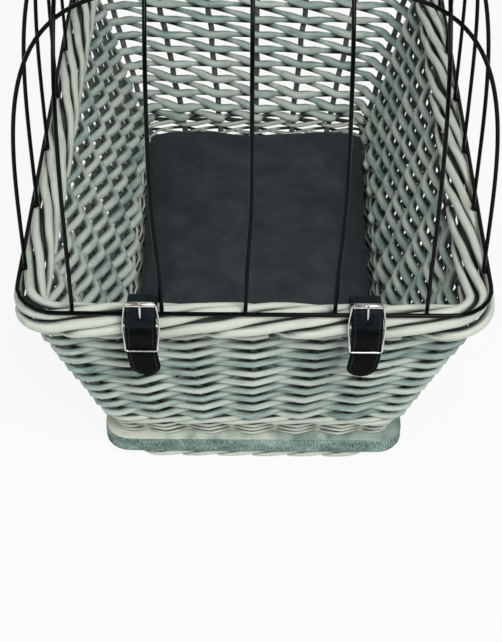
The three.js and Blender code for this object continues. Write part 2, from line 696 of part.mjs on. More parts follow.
// A ring on the centre bar, and a wire that passes the strap's hole and lies on the roller
function prongGeometry(x) {
  const ring = tubeOnBar(x, CENTRE_BAR, barHole, barHole + PRONG_RING_WALL, PRONG_RING_WIDE);
  const onRoller = polar(ROLLER_BAR, ROLLER_R + GAP + PRONG_WIRE / 2, PRONG_ON_ROLLER);
  const clearOfStrap = prongAcross(PRONG_CLEAR);
  const path = [
    prongAcross(barHole + PRONG_RING_WALL / 2),
    clearOfStrap,
    at((clearOfStrap.x * 2 + onRoller.x) / 3, (clearOfStrap.y + onRoller.y) / 2),
    onRoller,
    at(onRoller.x - PRONG_PAST / 2, onRoller.y + PRONG_PAST),
  ];
  const points = path.map((place) => atRim(x, place, FRONT_END));
  return join(ring, bar(points, PRONG_WIRE, BUCKLE_SIDES, X_AXIS));
}

for (const [side, x] of [['left', -STRAP_X], ['right', STRAP_X]]) {
  addNode(`${side}_strap`, strapGeometry(x), BLACK_LEATHER);
  addNode(`${side}_strap_tongue`, tongueGeometry(x), BLACK_LEATHER);
  addNode(`${side}_buckle_frame`, buckleGeometry(x), NICKEL);
  addNode(`${side}_buckle_roller`, rollerGeometry(x), NICKEL);
  addNode(`${side}_buckle_prong`, prongGeometry(x), NICKEL);
}

// Rear hinge loops: closed bands round the border and the perimeter wire
function hingeLoopGeometry(x) {
  const outerTop = at(OUT_RUN, borderRod(1).y + BORDER_ROD / 2);
  const over = overBorder(LOOP_LEAVES_WIRE, 5);
  const path = [at(INNER_RUN, STRAP_SPLIT), ...over, outerTop, ...underBorder()];
  return leatherBand(path, x, STRAP_WIDTH, REAR_END, true);
}
for (const [side, x] of [['left', -STRAP_X], ['right', STRAP_X]]) {
  addNode(`${side}_hinge_loop`, hingeLoopGeometry(x), BLACK_LEATHER);
}

// The buckles stand further out than the loops, so the basket moves back until its box is centred.
const box = new THREE.Box3().setFromObject(basket);
basket.position.y = -(box.min.y + box.max.y) / 2;

export default basket;
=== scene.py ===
import math

import bpy
import numpy as np
from mathutils import Matrix, Vector, noise


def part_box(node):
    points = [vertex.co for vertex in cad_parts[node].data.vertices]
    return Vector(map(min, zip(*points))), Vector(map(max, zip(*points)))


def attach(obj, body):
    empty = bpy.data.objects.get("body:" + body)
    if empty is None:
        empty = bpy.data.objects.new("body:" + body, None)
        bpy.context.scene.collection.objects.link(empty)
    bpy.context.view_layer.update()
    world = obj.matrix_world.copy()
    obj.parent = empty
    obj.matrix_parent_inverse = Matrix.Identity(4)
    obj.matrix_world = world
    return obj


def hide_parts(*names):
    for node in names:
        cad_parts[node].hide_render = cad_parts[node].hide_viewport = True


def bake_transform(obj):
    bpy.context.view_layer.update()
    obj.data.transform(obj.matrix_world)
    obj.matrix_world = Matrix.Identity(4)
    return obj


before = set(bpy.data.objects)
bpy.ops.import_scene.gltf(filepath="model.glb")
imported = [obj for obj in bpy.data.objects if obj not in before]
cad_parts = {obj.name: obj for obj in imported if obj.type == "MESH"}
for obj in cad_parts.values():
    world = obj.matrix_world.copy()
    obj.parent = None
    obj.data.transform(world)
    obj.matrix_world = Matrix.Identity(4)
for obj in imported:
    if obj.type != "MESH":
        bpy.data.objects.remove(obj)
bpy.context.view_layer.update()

MM = 0.001
rng = np.random.default_rng(11)

# Sizes of the CAD model: the wall's outlines are half width, half length and corner radius
board_low, board_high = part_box("base_board")
CENTRE_Y = (board_low.y + board_high.y) / 2 / MM
BOARD_BOTTOM = board_low.z / MM
BOARD_TOP = board_high.z / MM
FOOT_OF_WALL = (107.0, 199.5, 15.0)
FOOT_OF_WALL_Z = 24.6
RIM = (160.8, 260.8, 22.0)
RIM_Z = 201.0
FOOT_RING = (97.0, 205.0, 20.0)
FOOT_RING_Z = 4.5
BOARD = (122.0, 211.0, 21.0)
STAKES = 32
SIDES = ((0, 6), (6, 16), (16, 22), (22, 32))  # first and last stake of front, right, rear, left
STAKE_R = 2.8

# Strap and buckle places, square to the rim: out from the core rod and up from it
OUT_RUN = 15.6
INNER_RUN = -15.563
STRAP_UNDER = -14.04
STRAP_BEND = 3.0
STRAP_SPLIT = 5.0
STRAP_X = 79.0
STRAP_HALF = 11.0
LEATHER = 2.2
INNER_TOP_ROD = (-4.404, 8.643)
PERIMETER = (9.0, 13.934)
GAP = 0.3  # between pieces that lie against each other
BORDER_ROD_R = 4.5
BUCKLE_R = 1.1
FOLD_R = 2.5
FOLD_END = 5.0  # below the bar, where the strap's fold ends
CENTRE_BAR = (OUT_RUN + FOLD_R, 11.0)
BUCKLE_LEAN = 8.0
BUCKLE_UP = 17.5
BUCKLE_DOWN = 19.8
RAIL_X = 12.7
ROLLER_HALF = 10.2
FRAME_R = 0.72
FRAME_CORNER = 1.7
ROLLER_END_DRAWN = 0.12  # share by which the buckle's frame narrows to its roller
KEEPER_END_DRAWN = 0.1  # and to its keeper
KEEPER_OUT = 2.3  # how far the frame's lower half bends out, so that the tongue swings clear
KEEPER_PLAY = 0.2  # from the keeper to the tongue
ROLLER_R = 2.0
PRONG_R = 0.9
PRONG_TIP_R = 0.8
PRONG_ANGLE = 80.0
PRONG_RING = 2.05  # radius of the ring on the bar, to the middle of its wall
PRONG_CLEAR = 11.6  # from the bar, where the prong has left the strap
PRONG_ON_ROLLER = 18  # degrees round the roller, where it lies on it
FRONT_END = -1
REAR_END = 1

# Wire hood
WIRE_Z = RIM_Z + PERIMETER[1]
DOME = (169.2, 265.9, 273.566)
DOME_POWER = 4
WIRE_CROSSING = 3.3
HOOD_WIRE_R = 1.5
PERIMETER_R = 2.1
PERIMETER_DRAWN_R = 1.65  # of the wire itself, inside the room that the CAD wire takes
WELD_R = 1.7
CROSSING_WELD = (1.6, 1.6, 1.3)
RIB_FEET = [-128.0, -64.8, -6.0, 57.0, 121.5]  # where the ribs leave the wire at the front end
RIB_TOPS = [-128.0, -69.5, -2.0, 61.0, 122.5]
RIB_REAR = [-126.0, -63.0, 0.0, 63.0, 126.0]
RIB_LEAN_HEIGHT = 109.0  # over which a rib leans from its foot's place to its top's
HOOP_PLACES = [221.8 * (i / 3 - 1) for i in range(7)]


def lerp(a, b, share):
    return a + (b - a) * share


def smooth(t):
    t = np.clip(t, 0, 1)
    return t * t * (3 - 2 * t)


def srgb(red, green, blue):
    """A colour as it is read off a picture, turned into the linear values that a shader takes."""
    values = [x / 255 for x in (red, green, blue)]
    return [x / 12.92 if x <= 0.04045 else ((x + 0.055) / 1.055) ** 2.4 for x in values] + [1.0]


# Places on the basket

def place(u, outline, out):
    """Points on a rounded rectangle. u counts stakes anticlockwise from the front left corner."""
    u, a, b, r, out = np.broadcast_arrays(np.mod(u, STAKES), *outline, out)
    x, y = np.empty(u.shape), np.empty(u.shape)
    for side, (first, last) in enumerate(SIDES):
        here = (u >= first) & (u < last)
        half = (last - first) / 2
        across, reach = (a, b) if side % 2 == 0 else (b, a)
        straight = RIM[side % 2] - RIM[2]
        along = (u - first - half) * (straight + math.pi / 4 * RIM[2]) / half
        on_side = np.clip(along, -straight, straight)
        angle = (along - on_side) / RIM[2]
        px = on_side / straight * (across - r) + (r + out) * np.sin(angle)
        py = r - reach - (r + out) * np.cos(angle)
        c, s = math.cos(side * math.pi / 2), math.sin(side * math.pi / 2)
        x[here] = (c * px - s * py)[here]
        y[here] = (s * px + c * py)[here]
    return x, y + CENTRE_Y


def on_wall(u, z, out):
    share = (z - FOOT_OF_WALL_Z) / (RIM_Z - FOOT_OF_WALL_Z)
    outline = [lerp(low, high, share) for low, high in zip(FOOT_OF_WALL, RIM)]
    return on_ring(u, outline, out, z)


def outward(u):
    """The direction square out of the wall at each place."""
    inner, outer = (np.stack(place(u, RIM, out), axis=-1) for out in (0.0, 1.0))
    return np.concatenate([outer - inner, np.zeros((len(inner), 1))], axis=1)


def on_ring(u, outline, out, z):
    x, y = place(u, outline, out)
    return np.stack([x, y, np.broadcast_to(z, x.shape)], axis=-1)


def at_rim(x, spot, end):
    """A spot in the strap's plane, as a point at the front or rear end of the basket."""
    return np.array([x, CENTRE_Y + end * (RIM[1] + spot[0]), RIM_Z + spot[1]])


def polar(centre, radius, degrees):
    angle = math.radians(degrees)
    return (centre[0] + radius * math.cos(angle), centre[1] + radius * math.sin(angle))


def arc(centre, radius, start, end, steps):
    return [polar(centre, radius, lerp(start, end, i / steps)) for i in range(steps + 1)]


ROLLER_BAR = polar(CENTRE_BAR, BUCKLE_UP, 90 + BUCKLE_LEAN)


def on_frame(s):
    """A spot of the buckle's frame at a distance up from its bar."""
    across, up = polar(CENTRE_BAR, s, 90 + BUCKLE_LEAN)
    return (across + KEEPER_OUT * smooth(-s / BUCKLE_DOWN), up)


KEEPER_BAR = on_frame(-BUCKLE_DOWN)


def spline(points, per=8):
    """A smooth path through points, per steps from one to the next."""
    points = np.asarray(points, float)
    ends = np.vstack([2 * points[0] - points[1], points, 2 * points[-1] - points[-2]])
    path = []
    for a, b, c, d in zip(ends, ends[1:], ends[2:], ends[3:]):
        for t in np.arange(per) / per:
            path.append(
                b + 0.5 * t * (c - a + t * (2 * a - 5 * b + 4 * c - d + t * (3 * (b - c) + d - a)))
            )
    return np.array(path + [points[-1]])


def run_along(path):
    """How far along a path each of its points lies."""
    return np.concatenate([[0], np.cumsum(np.linalg.norm(np.diff(path, axis=0), axis=1))])


def tangents(path, loops):
    if loops:
        along = np.roll(path, -1, axis=0) - np.roll(path, 1, axis=0)
    else:
        along = np.gradient(path, axis=0)
    return along / np.linalg.norm(along, axis=1, keepdims=True)


def evenly(path, step):
    """The same path with points about a step apart."""
    path = np.asarray(path, float)
    run = run_along(path)
    at = np.linspace(0, run[-1], max(2, int(round(run[-1] / step)) + 1))
    return np.stack([np.interp(at, run, path[:, i]) for i in range(path.shape[1])], axis=-1)


def wobble(count, size, waves=3.0):
    """A slow uneven drift along a rod."""
    t = np.linspace(0, 1, count)
    return size * sum(
        math.sqrt(0.5) * np.sin(2 * math.pi * (waves * k * t + rng.random())) for k in (1, 1.7)
    )


# Meshes

SHADE_DEPTH = 0.4  # how far into the weave a rod must turn to take the full painted shade
SHADE_FADE = 0.65  # share of its radius over which the painted shade fades out


class Shape:
    """Gathers closed surfaces in millimetres and makes one mesh piece of them in metres."""

    def __init__(self):
        self.points, self.faces, self.uvs, self.slots = [], [], [], []
        self.tints, self.hollows = [], []
        self.count = 0

    def sweep(self, rows, tint=0.5, hollow=0.0, slot=0, loops=False):
        """Rows of points, each a ring that turns anticlockwise round the way the rows go. tint is
        the strip's own tone, and the shade value says for each point how much painted shade it
        takes, from how far it is turned into the weave."""
        rows = np.asarray(rows, float)
        n, m = rows.shape[:2]
        start = self.count
        self.points.append(rows.reshape(-1, 3))
        self.tints.append(np.full(n * m, tint))
        self.hollows.append(np.broadcast_to(hollow, (n, m)).ravel())
        self.count += n * m
        middle = rows.mean(axis=1)
        steps = np.linalg.norm(np.roll(middle, -1, axis=0) - middle, axis=1)
        run = np.concatenate([[0], np.cumsum(steps)]) * MM
        ring = rows[n // 2]
        round_it = np.linalg.norm(np.roll(ring, -1, axis=0) - ring, axis=1)
        turn = np.concatenate([[0], np.cumsum(round_it)]) * MM
        for i in range(n if loops else n - 1):
            j = (i + 1) % n
            for k in range(m):
                q = (k + 1) % m
                corners = ((i, k), (i, q), (j, q), (j, k))
                self.faces.append([start + r * m + c for r, c in corners])
                self.uvs += [
                    (run[i], turn[k]), (run[i], turn[k + 1]),
                    (run[i + 1], turn[k + 1]), (run[i + 1], turn[k]),
                ]
                self.slots.append(slot)
        if loops:
            return
        for row, ring in ((0, range(m - 1, -1, -1)), (n - 1, range(m))):
            self.faces.append([start + row * m + k for k in ring])
            self.uvs += [(run[row], turn[k]) for k in ring]
            self.slots.append(slot)

    def tube(self, path, radius, sides=10, end=0.3, loops=False, wide=1.0, inward=None, seam=0.2,
             **kind):
        """A round rod along a path. end is how far its ends bulge, as a share of its radius, wide
        stretches its section sideways, and inward points for each place into the weave: the side
        that faces there is darkened with painted shade, and as far round from it as seam says."""
        path = np.asarray(path, float)
        radius = np.broadcast_to(np.asarray(radius, float), len(path))
        if not loops:
            path, radius = rounded_ends(path, radius, end)
            if inward is not None:
                inward = np.vstack([inward[:1], inward[:1], inward, inward[-1:], inward[-1:]])
        along = tangents(path, loops)
        side = np.cross(along[0], (0, 0, 1))
        if np.linalg.norm(side) < 0.1:
            side = np.cross(along[0], (0, 1, 0))
        sides_at = []
        for way in along:
            side = side - way * (side @ way)
            side = side / np.linalg.norm(side)
            sides_at.append(side)
        first = np.array(sides_at)
        second = np.cross(along, first)
        angle = np.arange(sides) * 2 * math.pi / sides
        ring = wide * np.cos(angle)[None, :, None] * first[:, None]
        ring = ring + np.sin(angle)[None, :, None] * second[:, None]
        # Painted shade: the side of the rod that faces into the weave is darkened, for the shade in
        # the hollows between rods.
        if inward is not None:
            turned = (ring * inward[:, None]).sum(axis=-1)
            sunk = smooth(np.linalg.norm(inward, axis=1) / SHADE_DEPTH)
            kind["hollow"] = smooth((turned + seam) / SHADE_FADE) * sunk[:, None]
        self.sweep(path[:, None] + radius[:, None, None] * ring, loops=loops, **kind)

    def ball(self, centre, size):
        """A small egg shape, such as a bead of weld."""
        rows, sides = 5, 8
        angle = np.arange(sides) * 2 * math.pi / sides
        ring = np.stack([np.cos(angle), np.sin(angle), np.zeros(sides)], axis=-1)
        tilt = np.linspace(-80, 80, rows) * math.pi / 180
        levels = ring[None] * np.cos(tilt)[:, None, None]
        levels[..., 2] += np.sin(tilt)[:, None]
        self.sweep(centre + np.array(size) * levels)

    def piece(self, name, *looks):
        mesh = bpy.data.meshes.new(name)
        mesh.from_pydata((np.concatenate(self.points) * MM).tolist(), [], self.faces)
        layer = mesh.uv_layers.new(name="along")
        layer.data.foreach_set("uv", np.array(self.uvs, np.float32).ravel())
        # Each point carries the rod's own tone and its share of painted shade.
        for value, points in (("tint", self.tints), ("hollow", self.hollows)):
            layer = mesh.attributes.new(value, "FLOAT", "POINT")
            layer.data.foreach_set("value", np.concatenate(points).astype(np.float32))
        mesh.polygons.foreach_set("material_index", self.slots)
        mesh.polygons.foreach_set("use_smooth", [True] * len(self.faces))
        for look in looks:
            mesh.materials.append(look)
        mesh.update()
        return link(bpy.data.objects.new(name, mesh))


def rounded_ends(path, radius, end):
    """The path with a few more points at its ends, where the rod rounds off."""
    tilts = [math.radians(x) for x in (40, 75)]
    head = path[0] - path[1]
    head = head / np.linalg.norm(head)
    tail = path[-1] - path[-2]
    tail = tail / np.linalg.norm(tail)
    first = [path[0] + head * radius[0] * end * math.sin(t) for t in reversed(tilts)]
    last = [path[-1] + tail * radius[-1] * end * math.sin(t) for t in tilts]
    fade = [math.cos(t) for t in tilts]
    radii = [radius[0] * f for f in reversed(fade)], [radius[-1] * f for f in fade]
    return np.vstack([first, path, last]), np.concatenate([radii[0], radius, radii[1]])


def link(obj):
    bpy.context.scene.collection.objects.link(obj)
    return obj


def finished_mesh(obj):
    """The mesh of an object as its modifiers leave it."""
    evaluated = obj.evaluated_get(bpy.context.evaluated_depsgraph_get())
    return bpy.data.meshes.new_from_object(evaluated)


def settle(obj, body, slot, *nodes):
    """Puts a piece on its body and hides the nodes it stands for; slot, the finish it takes, is not
    used.
    """
    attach(obj, body)
    if nodes:
        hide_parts(*nodes)
    return obj


# Materials

class Look:
    """A material and short ways to add nodes to it."""

    def __init__(self, name):
        self.material = bpy.data.materials.new(name)
        self.material.use_nodes = True
        self.tree = self.material.node_tree
        self.shader = self.tree.nodes["Principled BSDF"]

    def put(self, socket, value):
        if isinstance(value, bpy.types.NodeSocket):
            self.tree.links.new(value, socket)
        else:
            socket.default_value = value

    def node(self, kind, inputs=(), **settings):
        made = self.tree.nodes.new(kind)
        for name, value in settings.items():
            setattr(made, name, value)
        for name, value in dict(inputs).items():
            self.put(made.inputs[name], value)
        return made

    def set(self, **values):
        for name, value in values.items():
            self.put(self.shader.inputs[name.replace("_", " ")], value)

    def coords(self, kind, scale):
        source = self.node("ShaderNodeTexCoord").outputs[kind]
        return self.node("ShaderNodeMapping", {"Vector": source, "Scale": scale}).outputs[0]

    def value(self, name):
        """A number that the mesh carries at each point."""
        return self.node("ShaderNodeAttribute", attribute_name=name).outputs["Fac"]

    def noise(self, vector, detail=3.0, rough=0.55, w=None):
        inputs = {"Vector": vector, "Scale": 1.0, "Detail": detail, "Roughness": rough}
        if w is None:
            return self.node("ShaderNodeTexNoise", inputs).outputs["Fac"]
        inputs["W"] = w
        return self.node("ShaderNodeTexNoise", inputs, noise_dimensions="4D").outputs["Fac"]

    def math(self, operation, a, b):
        return self.node("ShaderNodeMath", {0: a, 1: b}, operation=operation).outputs[0]

    def plus(self, a, b, weight):
        """The sum of a, and of b times its weight."""
        return self.math("ADD", a, self.math("MULTIPLY", b, weight))

    def weighted(self, a, a_weight, b, b_weight):
        return self.plus(self.math("MULTIPLY", a, a_weight), b, b_weight)

    def ramp(self, value, *stops):
        made = self.node("ShaderNodeValToRGB", {"Fac": value})
        elements = made.color_ramp.elements
        while len(elements) < len(stops):
            elements.new(0.5)
        for element, (at, colour) in zip(elements, stops):
            element.position = at
            element.color = colour if hasattr(colour, "__len__") else (colour,) * 3 + (1,)
        return made.outputs["Color"]

    def mix(self, share, a, b):
        return self.node("ShaderNodeMix", {0: share, 6: a, 7: b}, data_type="RGBA").outputs[2]

    def bump(self, height, strength, distance):
        inputs = {"Height": height, "Strength": strength, "Distance": distance}
        self.set(Normal=self.node("ShaderNodeBump", inputs).outputs["Normal"])


def willow(name, pale, wash, stain, paleness):
    """Washed willow: streaks along each rod, rods of different tone, worn pale patches, buds, and
    painted shade, near black, in the hollows of the weave."""
    look = Look(name)
    tint = look.value("tint")
    seed = look.math("MULTIPLY", tint, 57.0)
    streak = look.noise(look.coords("UV", (16, 420, 1)), w=seed, detail=4.0, rough=0.65)
    patch = look.noise(look.coords("UV", (58, 120, 1)), w=seed, detail=2.0)
    tone = look.weighted(streak, 0.75, patch, 0.85)
    tone = look.plus(tone, tint, 0.36)
    tone = look.math("ADD", tone, paleness)
    nearly_pale = [lerp(a, b, 0.6) for a, b in zip(wash, pale)]
    colour = look.ramp(tone, (0.42, stain), (0.66, wash), (0.86, nearly_pale), (1.0, pale))
    bud = look.noise(look.coords("UV", (30, 150, 1)), w=seed, detail=1.0)
    spots = look.ramp(bud, (0.70, 0.0), (0.78, 1.0))
    dark = [x * 0.45 for x in stain[:3]] + [1.0]
    colour = look.mix(look.math("MULTIPLY", spots, 0.5), colour, dark)
    # Painted shade: points turned into the weave are mixed nearly to black, using a dark share of the
    # stain colour.
    shade_share = look.math("MULTIPLY", look.value("hollow"), 0.97)
    look.set(Base_Color=look.mix(shade_share, colour, [x * 0.06 for x in stain[:3]] + [1.0]))
    fibre = look.noise(look.coords("UV", (60, 1500, 1)), w=seed, detail=2.0)
    look.set(Roughness=look.ramp(streak, (0.3, 0.78), (0.7, 0.58)), Specular_IOR_Level=0.35)
    look.bump(look.plus(fibre, streak, 0.8), 0.45, 0.0006)
    return look.material


def board_look():
    """Stained board: pale washed faces, and a grey-blue sawn edge with short upright streaks."""
    look = Look("stained_board")
    fuzz = look.noise(look.coords("Object", (900, 900, 260)), detail=4.0, rough=0.7)
    cloud = look.noise(look.coords("Object", (45, 45, 80)), detail=3.0)
    edge_tone = look.weighted(fuzz, 0.75, cloud, 0.5)
    edge = look.ramp(
        edge_tone, (0.48, srgb(72, 94, 92)), (0.62, srgb(122, 146, 139)), (0.78, srgb(180, 199, 188))
    )
    grain = look.noise(look.coords("Object", (60, 22, 10)), detail=4.0, rough=0.5)
    face_tone = look.weighted(grain, 0.7, cloud, 0.35)
    face = look.ramp(
        face_tone, (0.36, srgb(108, 134, 130)), (0.5, srgb(150, 172, 162)), (0.66, srgb(196, 208, 194))
    )
    normal = look.node("ShaderNodeNewGeometry").outputs["True Normal"]
    up = look.node("ShaderNodeSeparateXYZ", {0: normal}).outputs["Z"]
    flatness = look.ramp(look.math("ABSOLUTE", up, 0.0), (0.55, 0.0), (0.9, 1.0))
    side = look.node("ShaderNodeSeparateXYZ", {0: look.coords("Object", (1, 1, 1))}).outputs["X"]
    wear_and_sheen = look.weighted(side, -3.0, cloud, 1.1)
    face = look.mix(look.ramp(wear_and_sheen, (0.4, 0.0), (0.75, 0.85)), face, srgb(226, 230, 214))
    look.set(Base_Color=look.mix(flatness, edge, face), Roughness=0.86, Specular_IOR_Level=0.25)
    look.bump(look.plus(fuzz, grain, 0.6), 0.6, 0.0008)
    return look.material


def fabric_look():
    """Charcoal cloth with a soft nap: brushed patches, a fine weave and a pale sheen."""
    look = Look("charcoal_cloth")
    nap = look.noise(look.coords("Object", (30, 26, 30)), detail=4.0, rough=0.6)
    thread = look.noise(look.coords("Object", (700, 700, 700)), detail=2.0)
    tone = look.weighted(nap, 0.7, thread, 0.3)
    look.set(
        Base_Color=look.ramp(
            tone, (0.36, srgb(45, 50, 53)), (0.5, srgb(54, 60, 63)), (0.64, srgb(64, 71, 74))
        ),
        Roughness=0.95,
        Specular_IOR_Level=0.15,
        Sheen_Weight=0.12,
        Sheen_Roughness=0.5,
        Sheen_Tint=srgb(150, 165, 175),
    )
    look.bump(look.plus(thread, nap, 0.5), 0.5, 0.0006)
    return look.material


def leather_look():
    """Smooth black leather: fine pebble grain, uneven gloss, and a painted sheen, greyer where it
    faces up.
    """
    look = Look("black_leather")
    cells = look.node(
        "ShaderNodeTexVoronoi", {"Vector": look.coords("Object", (1, 1, 1)), "Scale": 950.0}
    ).outputs["Distance"]
    crease = look.noise(look.coords("Object", (160, 160, 160)), detail=4.0)
    colour = look.ramp(crease, (0.35, srgb(3, 5, 6)), (0.7, srgb(9, 13, 14)))
    # Painted sheen: faces that turn up are mixed towards a paler bluish grey, for the soft sheen of
    # light on the leather.
    normal = look.node("ShaderNodeNewGeometry").outputs["Normal"]
    up = look.node("ShaderNodeSeparateXYZ", {0: normal}).outputs["Z"]
    faces_up = look.ramp(up, (0.2, 0.0), (0.7, 1.0))
    wear_and_sheen = look.math("MULTIPLY", faces_up, look.ramp(crease, (0.3, 0.4), (0.6, 1.0)))
    look.set(
        Base_Color=look.mix(wear_and_sheen, colour, srgb(29, 38, 42)),
        Roughness=look.ramp(crease, (0.3, 0.3), (0.7, 0.44)),
        Specular_IOR_Level=0.03,
    )
    look.bump(look.plus(cells, crease, 1.2), 0.3, 0.0003)
    return look.material


def thread_look():
    look = Look("black_thread")
    twist = look.noise(look.coords("UV", (2600, 900, 1)), detail=1.0)
    look.set(
        Base_Color=look.ramp(twist, (0.4, srgb(15, 16, 18)), (0.65, srgb(38, 40, 43))),
        Roughness=0.7,
    )
    look.bump(twist, 0.5, 0.0002)
    return look.material


def wire_look():
    """Gloss black coating, a little uneven as dipped wire is."""
    look = Look("black_coated_wire")
    flow = look.noise(look.coords("Object", (120, 120, 120)), detail=3.0)
    look.set(
        Base_Color=look.ramp(flow, (0.4, srgb(3, 4, 5)), (0.7, srgb(8, 9, 10))),
        Roughness=look.ramp(flow, (0.35, 0.12), (0.7, 0.2)),
        Specular_IOR_Level=0.1,
    )
    look.bump(flow, 0.12, 0.0005)
    return look.material


def nickel_look():
    """Bright plated steel with faint polishing lines and dull spots."""
    look = Look("bright_nickel")
    rub = look.noise(look.coords("UV", (40, 2600, 1)), detail=2.0)
    spot = look.noise(look.coords("Object", (240, 240, 240)), detail=3.0)
    look.set(
        Base_Color=look.ramp(spot, (0.35, srgb(196, 194, 190)), (0.65, srgb(226, 225, 222))),
        Metallic=1.0,
        Roughness=look.ramp(spot, (0.3, 0.12), (0.75, 0.26)),
    )
    look.bump(rub, 0.1, 0.0002)
    return look.material


WASHED = willow("washed_willow", srgb(206, 218, 207), srgb(152, 176, 167), srgb(76, 101, 98), -0.12)
CREAM = willow("cream_willow", srgb(214, 221, 207), srgb(187, 200, 187), srgb(104, 121, 110), 0.02)
STAINED_BOARD = board_look()
CLOTH = fabric_look()
HIDE = leather_look()
THREAD = thread_look()
WIRE = wire_look()
NICKEL = nickel_look()


# Woven body

WEAVE_FOOT = 58.4  # height of the lowest stroke
LEVEL = 14.0  # from one stroke to the next above it
ROD_SPAN = 18.4  # stakes that a rod passes
INNER_BULGE = 0.5  # share by which a stroke stands further in inside the basket than outside
INNER_SWELL = 0.52  # share by which it is thicker there
KNUCKLE = 2.2  # how far a stroke stands off a corner stake
KNUCKLE_SPAN = 0.4  # of a stake, over which it does
WEAVE_BUTT_R = 2.75
WEAVE_TIP_R = 2.3
CORE_R = 4.9


def kinked(w):
    """Swings from 1 to -1 and back over two stakes, nearly straight between them."""
    return np.arcsin(0.99 * np.cos(math.pi * w)) / math.asin(0.99)


def weave_rods():
    """French randing: a rod from every stake goes in front of one, behind the next, and climbs
    one level for every two stakes."""
    shape = Shape()
    for stake in range(STAKES):
        w = np.arange(-1.1, ROD_SPAN + rng.uniform(-0.3, 0.3), 0.1)
        swing = kinked(w)
        inside = smooth(-swing / 0.5)
        radius = lerp(WEAVE_BUTT_R, WEAVE_TIP_R, np.clip(w / ROD_SPAN, 0, 1)) * rng.uniform(0.92, 1.1)
        out = swing * (STAKE_R + radius) * (1 + INNER_BULGE * inside) + wobble(len(w), 0.25)
        for corner, _ in SIDES:
            past = np.mod(stake + w - corner + STAKES / 2, STAKES) - STAKES / 2
            out = out + KNUCKLE * np.exp(-((past / KNUCKLE_SPAN) ** 2)) * np.maximum(swing, 0)
        radius = radius * (1 + INNER_SWELL * inside)
        height = WEAVE_FOOT + LEVEL / 2 * np.maximum(w, -0.3) + wobble(len(w), 0.5, 5.0)
        path = on_wall(stake + w + wobble(len(w), 0.02), height, out)
        # Painted shade: inward marks the side of each rod that faces into the weave, which the tube
        # darkens nearly to black.
        inward = -outward(stake + w) * swing[:, None]
        shape.tube(path, radius, sides=8, tint=rng.random(), inward=inward)
    nodes = [f"weave_course_{i}" for i in range(1, 19)]
    settle(shape.piece("weave_rods", WASHED), "basket", "washed_willow", *nodes)


def stakes():
    """Upright stakes, and the core that their bent tops make under the border's rods."""
    shape = Shape()
    for stake in range(STAKES):
        height = np.linspace(FOOT_OF_WALL_Z - 0.2, RIM_Z - 4, 24)
        path = on_wall(stake + wobble(24, 0.015), height, wobble(24, 0.25))
        radius = STAKE_R * rng.uniform(0.95, 1.04)
        # Painted shade: the stakes are darkened throughout, for the shade they stand in behind the
        # rods.
        shape.tube(path, radius, sides=8, tint=rng.random() * 0.7, hollow=0.85)
    u = np.arange(0, STAKES, 0.125)
    # Painted shade: the core is darkened throughout, for the shade under the border's rods.
    shape.tube(on_ring(u, RIM, 0.0, RIM_Z), CORE_R, sides=8, loops=True, tint=0.3, hollow=0.9)
    settle(shape.piece("stakes", WASHED), "basket", "washed_willow", "stake_frame")


UPSETT_ROWS = 3
UPSETT_R = 1.5
UPSETT_OFF = 2.2  # from the stakes, and from the foot of the wall
UPSETT_LEVEL = 6.3  # from one row to the next above it
UPSETT_RISE = 1.3


def upsett_rods():
    """Rows of fine rods in pairs, which cross between stakes."""
    shape = Shape()
    for row in range(UPSETT_ROWS):
        for rod in range(2):
            u = np.arange(0, STAKES, 0.1)
            swing = kinked(u - rod)
            height = FOOT_OF_WALL_Z + UPSETT_OFF + row * UPSETT_LEVEL
            height = height + UPSETT_RISE * np.sin(math.pi * (u - rod)) + wobble(len(u), 0.2, 9.0)
            path = on_wall(u, height, swing * (STAKE_R + UPSETT_OFF))
            # Painted shade on the side of each rod that faces into the weave.
            inward = -outward(u) * swing[:, None]
            shape.tube(
                path, UPSETT_R, sides=8, loops=True, tint=rng.random(), inward=inward, seam=0.55
            )
    settle(shape.piece("upsett_rods", CREAM), "basket", "cream_willow", "upsett_band")


WALE_Z = 49.2
WALE_RISE = 3.4
WALE_R = 2.3
WALE_OFF = 2.4  # from the stakes
WALE_START = 18.5  # where its ends overlap, in the middle of the rear, counted in stakes
WALE_OVERLAP = 1.4


def wale_rods():
    """Three thick rods that pass two stakes outside and one inside."""
    shape = Shape()
    for rod in range(3):
        w = np.arange(0, STAKES + WALE_OVERLAP, 0.1)
        turn = 2 * math.pi * (w - rod - 0.5) / 3
        out = (STAKE_R + WALE_OFF) * np.tanh(2.2 * (0.25 + np.cos(turn)))
        height = WALE_Z + WALE_RISE * np.sin(turn) + wobble(len(w), 0.3, 7.0)
        radius = WALE_R + wobble(len(w), 0.12, 6.0)
        # Painted shade on the side of each rod that faces into the weave.
        inward = -outward(WALE_START + w) * (out / np.abs(out).max())[:, None]
        path = on_wall(WALE_START + w, height, out)
        shape.tube(path, radius, tint=rng.random(), inward=inward, seam=0.4)
    settle(shape.piece("wale_rods", CREAM), "basket", "cream_willow", "base_wale")


BORDER_RING = 9.5  # from the core's centre line to that of a border rod
BORDER_TURN = 58.0  # degrees that a border rod turns from one stake to the next
BORDER_SPAN = 4.7  # stakes that it passes
BORDER_COMES_OUT = -125.0  # degrees round the core, where it leaves the wall
BORDER_SETS_OFF = -68.0  # and where its steady turn is counted from
BORDER_RADII = (1.9, 4.4, 2.9)  # as it comes out, at its thickest and at its tip


